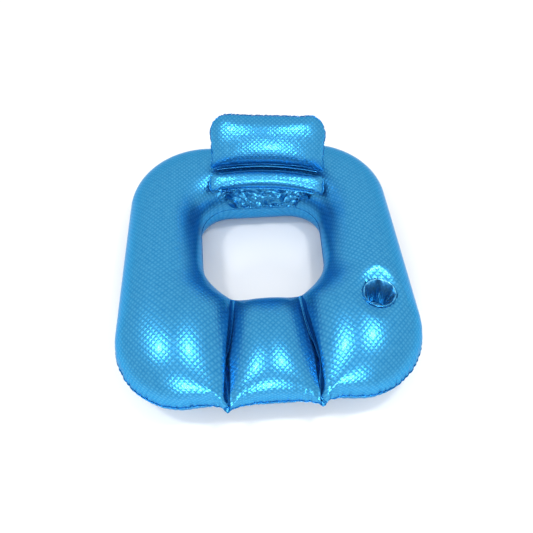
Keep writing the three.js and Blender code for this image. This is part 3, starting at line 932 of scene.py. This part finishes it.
def flap():
    """The crumpled flap that ties the roll to the ring, from the roll's fold down to the seat hole."""
    random = np.random.default_rng(41)
    columns, rows = FLAP_GRID
    u = np.linspace(-1, 1, columns)[None]
    v = np.linspace(0, 1, rows)[:, None]
    origin, axes = fold_frame("backrest_fold", 0.0)
    half = FLAP_TOP_HALF + (FLAP_LOW_HALF - FLAP_TOP_HALF) * v
    top = np.array([origin[0], origin[1] + 0.004, origin[2] - 0.001])
    angle = np.radians(FLAP_FROM + (FLAP_TO - FLAP_FROM) * v)
    power = 2 / TUBE_ROUNDNESS
    half_tube = (EDGE_BACK - HOLE["back"]) / 2
    y = (EDGE_BACK + HOLE["back"]) / 2 - half_tube * np.abs(np.cos(angle)) ** power
    z = SEAM_HEIGHT + TUBE_RISE * np.sin(angle) ** power
    lean = np.stack([0 * y, -1 + 0 * y, 0.6 + 0 * y], -1)
    lie = np.stack([0 * y, y, z], -1) + lean / np.linalg.norm(lean, axis=-1, keepdims=True) * 0.010
    ease = np.clip(1 - v * 3.2, 0, 1)[..., None]
    base = lie * (1 - ease) + np.stack([0 * y, top[1] + 0 * y, top[2] + 0 * y], -1) * ease
    sag = -DROOP * (u * half / (BACKREST_WIDTH / 2)) ** 2 * ease[..., 0]
    base = np.repeat(base, columns, 1)
    base[..., 0] = top[0] + u * half
    base[..., 1] += sag * axes[1][1]
    length = np.linalg.norm(np.diff(base[:, columns // 2], axis=0), axis=1).sum()
    flat = np.zeros_like(base)
    flat[..., 0] = u * half * FLAP_SPARE
    flat[..., 1] = -v * length * FLAP_SPARE
    index = np.arange(rows * columns).reshape(rows, columns)
    quads = [index[:-1, :-1], index[1:, :-1], index[1:, 1:], index[:-1, 1:]]
    faces = np.stack(quads, -1).reshape(-1, 4)
    points = base
    noise = random.normal(scale=FLAP_CREASE, size=base.shape)
    for _ in range(FLAP_CREASE_PASSES):
        beside = noise[1:-1, :-2] + noise[1:-1, 2:]
        noise[1:-1, 1:-1] = (noise[:-2, 1:-1] + noise[2:, 1:-1] + beside) / 4
    nudged = base + noise
    nudged[0], nudged[-1] = base[0], base[-1]
    pinned = np.zeros((rows, columns), bool)
    pinned[0] = pinned[-1] = True
    start, cut = nudged.reshape(-1, 3), flat.reshape(-1, 3)
    points = blow_up("flap_pattern", start, cut, faces, None, FLAP_FRAMES, 0, pinned.ravel())
    points = points.reshape(base.shape)
    tab = np.clip(1 - np.abs(u - 0.36) / 0.2, 0, 1) * np.clip(1 - np.abs(v - 0.62) / 0.28, 0, 1)
    points = points + np.array([0, -0.55, 0.8]) * (FLAP_TAB_RISE * np.sqrt(tab))[..., None]
    piece = add_mesh("tie_flap", points, faces, vinyl, flat[..., :2] * [1, -1])
    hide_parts("backrest_flap")
    skin = piece.modifiers.new("wall", "SOLIDIFY")
    skin.thickness = WALL
    smoother = piece.modifiers.new("smooth", "SUBSURF")
    smoother.levels = smoother.render_levels = 1
    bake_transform(piece)


flap()
fold_strip(
    "backrest_fold_weld",
    "backrest_fold",
    (ROLL_TILT, ROLL_TILT),
    FLAP_TOP_HALF,
    DROOP * (2 * FLAP_TOP_HALF / BACKREST_WIDTH) ** 2,
)

for body in ("ring", "bolster", "headrest"):
    for part in ("flange", "stem", "cap", "check_flap"):
        node = frame["nodes"][f"{body}_valve_{part}"]
        node.data.materials.clear()
        node.data.materials.append(clear)

# ---- Camera and light

CAMERA_AZIMUTH = math.radians(-4.534)
CAMERA_ELEVATION = math.radians(54.704)
CAMERA_ROLL = math.radians(0.541)
CAMERA_DISTANCE = 1.779
CAMERA_TARGET = Vector((0.009, 0.0055, 0.1))
CAMERA_LENS = 38.39
SENSOR = 36.0


def add_camera():
    data = bpy.data.cameras.new("camera")
    data.lens = CAMERA_LENS
    data.sensor_width = SENSOR
    camera = bpy.data.objects.new("camera", data)
    bpy.context.scene.collection.objects.link(camera)
    level = math.cos(CAMERA_ELEVATION)
    back = Vector(
        (
            math.sin(CAMERA_AZIMUTH) * level,
            -math.cos(CAMERA_AZIMUTH) * level,
            math.sin(CAMERA_ELEVATION),
        )
    )
    camera.rotation_mode = "QUATERNION"
    aim = (-back).to_track_quat("-Z", "Y")
    camera.rotation_quaternion = aim @ Matrix.Rotation(CAMERA_ROLL, 3, "Z").to_quaternion()
    camera.location = CAMERA_TARGET + back * CAMERA_DISTANCE
    bpy.context.scene.camera = camera


def softbox(name, place, size, power):
    data = bpy.data.lights.new(name, "AREA")
    data.shape = "DISK"
    data.size = size
    data.energy = power
    light = bpy.data.objects.new(name, data)
    light.location = place
    light.rotation_mode = "QUATERNION"
    light.rotation_quaternion = (Vector((0, 0, 0.1)) - Vector(place)).to_track_quat("-Z", "Y")
    bpy.context.scene.collection.objects.link(light)


def studio():
    world = bpy.data.worlds.new("studio")
    world.use_nodes = True
    background = world.node_tree.nodes["Background"]
    background.inputs["Color"].default_value = (1, 1, 1, 1)
    background.inputs["Strength"].default_value = 0.95
    bpy.context.scene.world = world
    nodes = Nodes("floor")
    nodes.set(Base_Color=(0.95, 0.95, 0.95, 1), Roughness=0.9)
    corners = [(-4, -4, 0), (4, -4, 0), (4, 4, 0), (-4, 4, 0)]
    floor = add_mesh("floor", corners, [(0, 1, 2, 3)], nodes.material)
    softbox("upper_left", (-1.15, -0.4, 2.3), 0.30, 13)
    softbox("upper_right", (0.65, -0.4, 2.3), 0.30, 12)
    softbox("front", (-0.15, -2.2, 1.4), 0.45, 18)


add_camera()
studio()
bpy.context.scene.view_settings.view_transform = "Standard"
